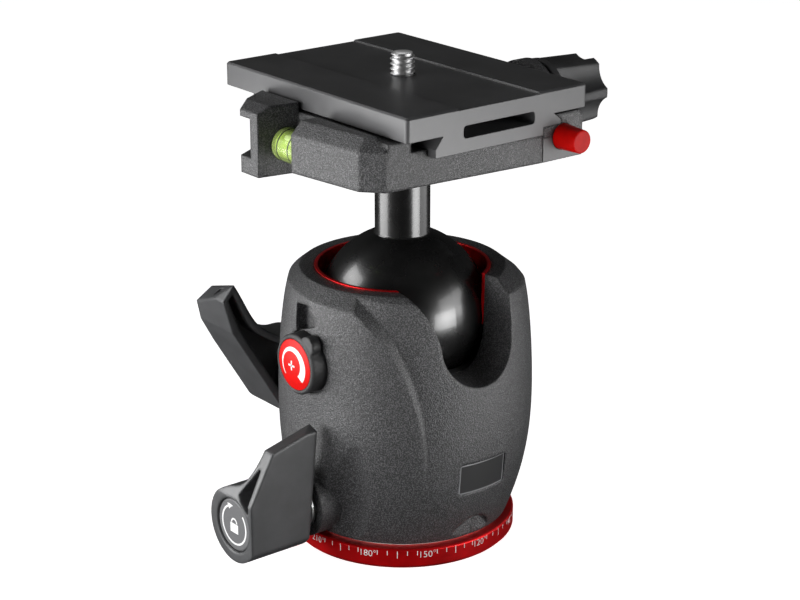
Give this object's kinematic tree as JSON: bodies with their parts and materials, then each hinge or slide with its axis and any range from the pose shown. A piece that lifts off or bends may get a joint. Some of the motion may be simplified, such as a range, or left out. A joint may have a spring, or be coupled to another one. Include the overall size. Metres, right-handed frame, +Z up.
{
  "type": "tripod ball head",
  "caption": "Photo tripod ball head: red pan base, dark cast housing with lock levers and drop notch, black ball on a neck, quick-release clamp with level and camera plate.",
  "frame": {"origin": "centre of the tripod thread's mouth in the base disc's underside", "axes": "+Z up the pan axis, +X to the housing's drop notch and name plate, -Y to the pan lever and friction knob, -X to the ball lock lever, all at rest"},
  "size_m": [0.1044, 0.1186, 0.1295],
  "materials": {
    "red_anodised": "red anodised, satin",
    "aluminium": "turned",
    "brass": "turned",
    "steel": "bright",
    "white_nylon": "low-friction plastic",
    "black_nylon": "low-friction plastic",
    "speckled_casting": "fine speckled dark grey coat on a magnesium casting",
    "plate_silver": "satin silver grey",
    "satin_grey": "smooth satin grey",
    "black_gloss": "gloss black",
    "black_satin": "satin black anodised",
    "vial_green": "clear yellow-green",
    "red_plastic": "gloss red",
    "black_rubber": "soft matte"
  },
  "bodies": {
    "base": {"base_disc": "red_anodised", "pan_spindle": "aluminium", "thread_bush": "brass", "flange_screws": "steel", "pan_washer": "white_nylon", "retaining_clip": "steel"},
    "housing": {"housing": "speckled_casting", "name_plate": "plate_silver", "collar": "red_anodised", "thrust_washer": "steel", "lock_block": "aluminium", "lock_bush": "brass", "cup_spring": "steel", "pan_lock_bush": "brass"},
    "cradle": {"ball_liner": "white_nylon"},
    "ball": {"ball": "black_gloss"},
    "clamp": {"clamp_base": "speckled_casting", "mount_bolt": "steel", "guide_pins": "steel", "level_vial": "vial_green", "vial_liquid": "vial_green"},
    "jaw": {"jaw": "speckled_casting", "jaw_end_block": "black_satin", "jaw_springs": "steel", "button_bush": "brass", "button_spring": "steel"},
    "release_button": {"release_button": "red_plastic", "button_clip": "steel"},
    "clamp_knob": {"clamp_knob": "black_rubber", "draw_screw": "steel", "knob_washer": "white_nylon"},
    "plate": {"camera_plate": "black_satin"},
    "camera_screw": {"camera_screw": "steel"},
    "lock_lever": {"lock_lever": "satin_grey", "lock_screw": "steel", "lock_lever_cap": "plate_silver", "lock_lever_washer": "steel"},
    "lock_wedge": {"lock_wedge": "steel"},
    "pressure_cup": {"pressure_cup": "black_nylon", "lift_pin": "steel"},
    "pan_lever": {"pan_lever": "satin_grey", "pan_screw": "steel", "pan_lever_cap": "plate_silver", "pan_lever_washer": "steel"},
    "pan_shoe": {"pan_brake_shoe": "brass"},
    "friction_knob": {"friction_knob": "satin_grey", "friction_emblem": "red_plastic", "friction_screw": "steel"},
    "friction_pad": {"friction_pad": "black_nylon"}
  },
  "joints": [
    {"name": "pan_turn", "type": "hinge", "parent": "base", "child": "housing", "pos_m": [0, 0, 0], "axis": [0, 0, 1], "continuous": true},
    {"name": "side_tilt", "type": "hinge", "parent": "housing", "child": "cradle", "pos_m": [0, 0, 0.0613], "axis": [1, 0, 0], "range_deg": [-30, 30]},
    {"name": "ball_drop", "type": "hinge", "parent": "cradle", "child": "ball", "pos_m": [0, 0, 0.0613], "axis": [0, 1, 0], "range_deg": [-30, 90]},
    {"name": "ball_spin", "type": "hinge", "parent": "ball", "child": "clamp", "pos_m": [0, 0, 0.1063], "axis": [0, 0, 1], "continuous": true},
    {"name": "lock_lever_turn", "type": "hinge", "parent": "housing", "child": "lock_lever", "pos_m": [-0.05, 0, 0.028], "axis": [1, 0, 0], "range_deg": [-85, 0]},
    {"name": "lock_wedge_slide", "type": "slide", "parent": "housing", "child": "lock_wedge", "axis": [1, 0, 0], "range_m": [-0.000472, 0]},
    {"name": "cup_lift", "type": "slide", "parent": "housing", "child": "pressure_cup", "axis": [0, 0, 1], "range_m": [-0.000125, 0]},
    {"name": "pan_lever_turn", "type": "hinge", "parent": "housing", "child": "pan_lever", "pos_m": [0, -0.045, 0.0146], "axis": [0, 1, 0], "range_deg": [-85, 0]},
    {"name": "pan_shoe_slide", "type": "slide", "parent": "housing", "child": "pan_shoe", "axis": [0, 1, 0], "range_m": [-0.00025, 0]},
    {"name": "friction_knob_turn", "type": "hinge", "parent": "housing", "child": "friction_knob", "pos_m": [0, -0.033, 0.0536], "axis": [0, 1, 0], "range_deg": [-180, 0]},
    {"name": "friction_pad_slide", "type": "slide", "parent": "housing", "child": "friction_pad", "axis": [0, 1, 0], "range_m": [-0.0004999, 0]},
    {"name": "jaw_slide", "type": "slide", "parent": "clamp", "child": "jaw", "axis": [0, 1, 0], "range_m": [0, 0.003]},
    {"name": "clamp_knob_turn", "type": "hinge", "parent": "jaw", "child": "clamp_knob", "pos_m": [0, 0.054, 0.111], "axis": [0, 1, 0], "range_deg": [0, 720]},
    {"name": "release_press", "type": "slide", "parent": "jaw", "child": "release_button", "axis": [-1, 0, 0], "range_m": [0, 0.003], "stiffness_N_per_m": 400, "springref_m": -0.001},
    {"name": "plate_slide", "type": "slide", "parent": "clamp", "child": "plate", "axis": [1, 0, 0], "range_m": [-0.01, 0.01]},
    {"name": "camera_screw_turn", "type": "hinge", "parent": "plate", "child": "camera_screw", "pos_m": [0, 0, 0.1244], "axis": [0, 0, 1], "continuous": true}
  ],
  "couplings": [
    {"joint": "lock_lever_turn", "follows": "lock_wedge_slide", "rad_per_m": 3141.7},
    {"joint": "cup_lift", "follows": "lock_wedge_slide", "ratio": 0.25},
    {"joint": "pan_shoe_slide", "follows": "pan_lever_turn", "m_per_rad": 0.00015915},
    {"joint": "friction_knob_turn", "follows": "friction_pad_slide", "rad_per_m": 6283.4},
    {"joint": "clamp_knob_turn", "follows": "jaw_slide", "rad_per_m": 4188.7}
  ]
}
